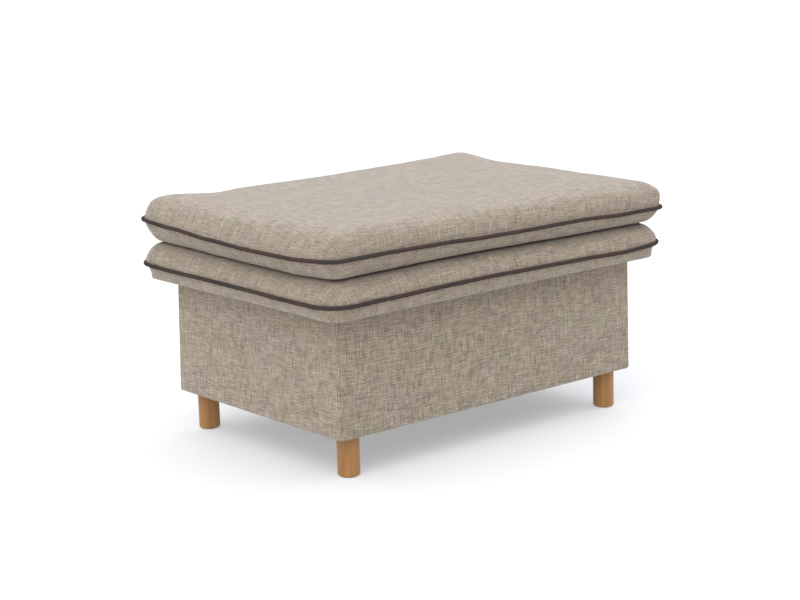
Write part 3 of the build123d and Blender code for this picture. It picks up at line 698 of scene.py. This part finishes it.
upper_piping_low, upper_piping_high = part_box("upper_pad_piping")
upper_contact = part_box("loop_strips")[1].z
upper_seam = (upper_piping_low.z + upper_piping_high.z) / 2
upper_half_x, upper_half_y = upper_piping_high.x - seam_inset, upper_piping_high.y - seam_inset
upper_rises = {
    "front": (3, 4, 3, -0.5, -1.5, -1, -5.4, -5.3), "back": (13, 6, 2, 0, 3, 8),
    "left": (3, -4, -4, 0, 7, 13), "right": (-5.3, -3, 0, 3, 8),
}
shoulder_rises = {
    "front": (0, 0, 0, -2, -8), "back": (4.5, -5, -0.5, 0, 0, 1.5, 2.5, 4, 6.5),
    "left": (0, 0, 4.5), "right": (-7.5, -4, -0.5, -2, 6.5),
}
upper_bends = (1, 0.85, 1, 1.3)
upper_bottom = (upper_contact - upper_seam) / mm
upper_top = (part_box("upper_pad_top_cover")[1].z - upper_seam) / mm
upper_middle = upper_half_y / mm
upper_pad = pad(
    "upper_pad", upper_half_x, upper_half_y, upper_seam,
    [
        (0, 0, 0, 30, 1, 0, 0),
        (3, -2, 12, 29, 0.7, 0.5, 0.2),
        (7, 0.5, 31, 27, 0.3, 2, 0.7),
        (10, 7.5, 44, 26, 0, 3.5, 1),  # the shoulder
        (13, 25, upper_top - 1, 30, 0, 4, 1),
        (18, 70, upper_top + 1, 46, 0, 4, 0.5),
        (24, 130, upper_top + 1.5, 70, 0, 2, 0),
        (ring_count, upper_middle, upper_top + 1.5, 0, 0, 0, 0),
    ],
    [
        (0, 0, 0, 30, 1, 0, 0),
        (3, 2, -9, 30, 0.7, 0.5, 0.2),
        (7, 10, -24, 29, 0.3, 2, 0.7),
        (10, 18, upper_bottom + 3, 28, 0, 4, 1),
        (12, 24, upper_bottom + 1, 26, 0, 4, 1),  # the crease over the lower pad
        (14, 40, upper_bottom, 24, 0, 3, 0.7),
        (17, 60, upper_bottom, 24, 0, 2, 0),
        (ring_count, upper_middle, upper_bottom, 0, 0, 0, 0),
    ],
    upper_rises, shoulder_rises, crease_rises, top_held=ring_count + 1, bottom_held=11, cap=4 * mm,
    lean=9 * mm, bends=upper_bends,
)
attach(upper_pad, "top_cushion")
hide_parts("upper_pad_foam", "upper_pad_top_cover", "upper_pad_bottom_cover")


# The piping round each pad: a cord in a bias-cut strip of dark woven cloth, sewn into the
# seam. It follows the seam's waves.
charcoal, tree, shader = material("charcoal_piping", Roughness=0.9, Specular_IOR_Level=0.1)
cloth = node(tree, "UVMap", uv_map="cloth").outputs[0]
threads = stretched_noise(tree, cloth, (900, 900, 1), 3, turn=radians(45))
patchy = ramp(tree, stretched_noise(tree, cloth, (8, 30, 1), 2), 0.35, 0.55)
tones = mixed(tree, patchy, (0.052, 0.048, 0.046), (0.082, 0.054, 0.0435))
shade = mixed(tree, threads, tones, (0.55, 0.55, 0.55), blend_type="MULTIPLY")
tree.links.new(shade, shader.inputs["Base Color"])
emboss(tree, shader, threads, 0.6, 0.4 * mm)


def piping(name, low, high, seam_level, bend_radius, bends, rises):
    """A tube round the pad's seam: a circle carried along the waving rounded rectangle. Its
    radius varies by two sines multiplied, because the cord in it is lumpy."""
    cord_radius, side_steps, end_steps, round_steps = 4 * mm, 200, 150, 14
    half_x, half_y = high.x - cord_radius, high.y - cord_radius
    along_x, along_y = np.linspace(-1, 1, side_steps + 1)[:-1], np.linspace(-1, 1, end_steps + 1)[:-1]
    share_x = np.concatenate([along_x, np.ones(end_steps), -along_x, -np.ones(end_steps)])
    share_y = np.concatenate([-np.ones(side_steps), along_y, np.ones(side_steps), -along_y])
    x, y = ring_place(share_x, share_y, half_x, half_y, bend_radius * corner_share(share_x, share_y, bends))
    line = np.stack([x, y, seam_level + seam_wave(share_x, share_y, rises)], 1)
    ahead = np.roll(line, -1, 0) - np.roll(line, 1, 0)
    ahead /= np.linalg.norm(ahead, axis=1, keepdims=True)
    across = np.cross(ahead, (0, 0, 1))
    across /= np.linalg.norm(across, axis=1, keepdims=True)
    over = np.cross(across, ahead)
    turn = np.linspace(0, 2 * pi, round_steps + 1)[:-1]
    steps = np.linalg.norm(np.diff(line, axis=0, append=line[:1]), axis=1)
    arc = np.concatenate([[0], np.cumsum(steps)])
    lumps = 1 + 0.05 * np.sin(2 * pi * arc[:-1] / (23 * mm)) * np.sin(2 * pi * arc[:-1] / (71 * mm))
    tube = line[:, None] + cord_radius * lumps[:, None, None] * (
        np.cos(turn)[None, :, None] * across[:, None] + np.sin(turn)[None, :, None] * over[:, None]
    )
    index = closed_grid(len(line), round_steps)
    girth = np.linspace(0, 2 * pi * cord_radius, round_steps + 1)
    flat = np.dstack(np.broadcast_arrays(arc[:, None], girth[None, :]))
    piece = new_piece(name, tube.reshape(-1, 3), corners(index)[:, ::-1], corners(flat)[:, ::-1])
    piece.data.materials.append(charcoal)
    return piece


lower_piping = piping(
    "lower_piping", lower_piping_low, lower_piping_high, lower_seam, 57 * mm, lower_bends, lower_rises
)
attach(lower_piping, "lid")
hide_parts("lower_pad_piping")
upper_piping = piping(
    "upper_piping", upper_piping_low, upper_piping_high, upper_seam, 33 * mm, upper_bends, upper_rises
)
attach(upper_piping, "top_cushion")
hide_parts("upper_pad_piping")


# The lining: thin black cloth glued to the inside of the box, walls and floor in one, with
# shallow puckers where the glue missed. It lies flat behind the stays' tracks.
black_cloth = fibres("black_cloth", (0.03, 0.03, 0.032), 2500)
level = dict.fromkeys(("front", "back", "left", "right"), (0, 0))


def plain(*rows):
    """Profile rows of ring, inset and rise alone: sharp corners, no waves and no draw-in."""
    return [(*row, 1, 0, 0, 0) for row in rows[:-1]] + [(*rows[-1], 0, 0, 0, 0)]


def pucker(piece, rings, first_ring, height, free=lambda x, y, z: 1.0):
    """Lifts the upper panel's points off along the normals, by soft bumps in both directions,
    one sine times another. The share of free is 0 where something presses the cloth flat."""
    places, normals = (vectors(piece.data.vertices, what) for what in ("co", "normal"))
    x, y, z = places.T
    first_wave = np.sin(2 * pi * (x + y) / (83 * mm) + 2 * np.sin(2 * pi * z / (120 * mm)))
    bumps = first_wave * np.sin(2 * pi * (x - y + 2 * z) / (140 * mm))
    faded_in = np.clip((rings - first_ring) / 3, 0, 1)
    lifted = height * (0.5 + 0.5 * bumps) * free(x, y, z) * faded_in
    put_points(piece.data, places + lifted[:, None] * normals)


lining_low, lining_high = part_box("lining")
wall = (lining_high.z - lining_low.z) / mm
lining_thick, foot = 0.8, 5  # in mm, as a profile's lengths are
lining_middle = lining_high.y / mm
lining, rings, _ = two_panels(
    "box_lining", lining_high.x, lining_high.y, lining_high.z,
    plain(
        (0, 0, 0), (1, lining_thick, 0), (2, lining_thick, -1), (15, lining_thick, foot - wall),
        (17, lining_thick, lining_thick - wall), (19, foot, lining_thick - wall),
        (ring_count, lining_middle, lining_thick - wall),
    ),
    plain(
        (0, 0, 0), (15, 0, foot - wall), (17, 0, -wall), (19, foot, -wall),
        (ring_count, lining_middle, -wall),
    ),
    level, level, level,
)
track_low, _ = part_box("stay_track_left")


def free_of_tracks(x, y, z):
    """0 on the end walls, from a little under the stays' tracks up, and 1 elsewhere."""
    return np.where(np.abs(x) > lining_high.x - 2 * mm, z < track_low.z - 15 * mm, 1.0)


pucker(lining, rings, 4, 0.7 * mm, free_of_tracks)
lining.data.materials.append(black_cloth)
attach(lining, "base")
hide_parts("lining")


# The cloth under the lid board: its edges are folded under and stapled over the edges of
# the lower pad's cover, so it hangs a little between them.
half_thick = (lid_cloth_high.z - lid_cloth_low.z) / mm / 2
lid_cloth_middle = lid_cloth_high.y / mm
lid_cloth, rings, _ = two_panels(
    "lid_cloth", lid_cloth_high.x, lid_cloth_high.y, lid_cloth_low.z + half_thick * mm,
    plain((0, 0, 0), (1, 0, half_thick), (2, 1, half_thick), (ring_count, lid_cloth_middle, half_thick)),
    plain(
        (0, 0, 0), (1, 0.2, -0.3), (2, 1, -half_thick), (4, 12, -half_thick),
        (ring_count, lid_cloth_middle, -half_thick),
    ),
    level, level, level,
)
pucker(lid_cloth, -rings, 4, 0.9 * mm)
lid_cloth.data.materials.append(black_cloth)
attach(lid_cloth, "lid")
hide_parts("lid_underside_cloth")


# The dust cover: thin black cloth stapled under the box, cut out round the legs. It sags a
# little between its edges.
def slab(top, bottom):
    """Points and faces of a closed sheet between two grids of points of one size."""
    columns, rows = top.shape[:2]
    index = np.arange(columns * rows).reshape(columns, rows)
    rim = np.concatenate([index[:-1, 0], index[-1, :-1], index[:0:-1, -1], index[0, :0:-1]])
    rim_ahead = np.roll(rim, -1)
    sides = np.stack([rim, rim + index.size, rim_ahead + index.size, rim_ahead], 1)
    faces = np.vstack([corners(index)[:, ::-1], corners(index) + index.size, sides])
    return np.vstack([top.reshape(-1, 3), bottom.reshape(-1, 3)]), faces


dust_low, dust_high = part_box("dust_cover")
leg_low, leg_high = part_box("leg_front_right")
dust_columns, dust_rows = 76, 52
i, j = np.meshgrid(np.linspace(-1, 1, dust_columns + 1), np.linspace(-1, 1, dust_rows + 1), indexing="ij")
points, faces = slab(*(
    np.dstack([i * dust_high.x, j * dust_high.y, np.full_like(i, z)]) for z in (dust_high.z, dust_low.z)
))
dust_cover = new_piece("dust_cloth", points, faces, points[faces][..., :2])
leg_x, leg_y = (leg_low.x + leg_high.x) / 2, abs(leg_low.y + leg_high.y) / 2
hole_radius = (leg_high.x - leg_low.x) / 2 + 1 * mm
for side_x in (-1, 1):
    for side_y in (-1, 1):
        bpy.ops.mesh.primitive_cylinder_add(
            vertices=64, radius=hole_radius, depth=20 * mm,
            location=(side_x * leg_x, side_y * leg_y, dust_low.z),
        )
        cutter = bpy.context.object
        hole = dust_cover.modifiers.new("hole", "BOOLEAN")
        hole.object, hole.operation, hole.solver = cutter, "DIFFERENCE", "EXACT"
        holed = dust_cover.evaluated_get(bpy.context.evaluated_depsgraph_get())
        cut = bpy.data.meshes.new_from_object(holed)
        dust_cover.modifiers.clear()
        dust_cover.data = cut
        bpy.data.objects.remove(cutter)

# The sag is greatest in the middle. It falls to nothing at the edges by the square of one
# minus the fourth power of the share of the way out, in X times Y.
places = vectors(dust_cover.data.vertices, "co")
share_x, share_y = places[:, 0] / dust_high.x, places[:, 1] / dust_high.y
places[:, 2] -= 2.5 * mm * np.clip((1 - share_x**4) * (1 - share_y**4), 0, 1) ** 2
put_points(dust_cover.data, places)
dust_cover.data.materials.clear()
dust_cover.data.materials.append(black_cloth)
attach(dust_cover, "base")
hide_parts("dust_cover")


# The hook-and-loop strips: three woven tapes on each pad, sewn on all round. The hooks
# face up from the lid's pad and the loops face down from the loose one.
hook_and_loop = fibres("hook_and_loop", (0.03, 0.03, 0.03), 1300)


def tapes(name, body):
    """Each tape is a thin block with rounded edges, pressed in along its sewing line: its
    free face sinks by a bump at the edge and another at the stitches."""
    low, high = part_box(name)
    thick, half_width, half_length = high.z - low.z, 15 * mm, high.y
    spacing, stitch_inset = high.x - half_width, 3 * mm
    across_steps, along_steps = 16, 160
    i, j = np.meshgrid(
        np.linspace(-1, 1, across_steps + 1), np.linspace(-1, 1, along_steps + 1), indexing="ij"
    )
    edge = np.minimum(half_width * (1 - np.abs(i)), half_length * (1 - np.abs(j)))
    stitches, rounding = bump_at(edge - stitch_inset, 1.2 * mm), bump_at(edge, 0.6 * mm)
    pressed = 0.35 * thick * stitches + 0.45 * thick * rounding
    top = high.z - pressed * (body == "lid")
    bottom = low.z + pressed * (body != "lid")
    points, faces = [], []
    for number, step in enumerate((-1, 0, 1)):
        x, y = step * spacing + i * half_width, j * half_length
        tape_points, tape_faces = slab(np.dstack([x, y, top]), np.dstack([x, y, bottom]))
        points.append(tape_points)
        faces.append(tape_faces + number * len(tape_points))
    points, faces = np.vstack(points), np.vstack(faces)
    piece = new_piece(name.replace("strips", "tapes"), points, faces, points[faces][..., :2])
    piece.data.materials.append(hook_and_loop)
    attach(piece, body)
    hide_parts(name)


tapes("hook_strips", "lid")
tapes("loop_strips", "top_cushion")
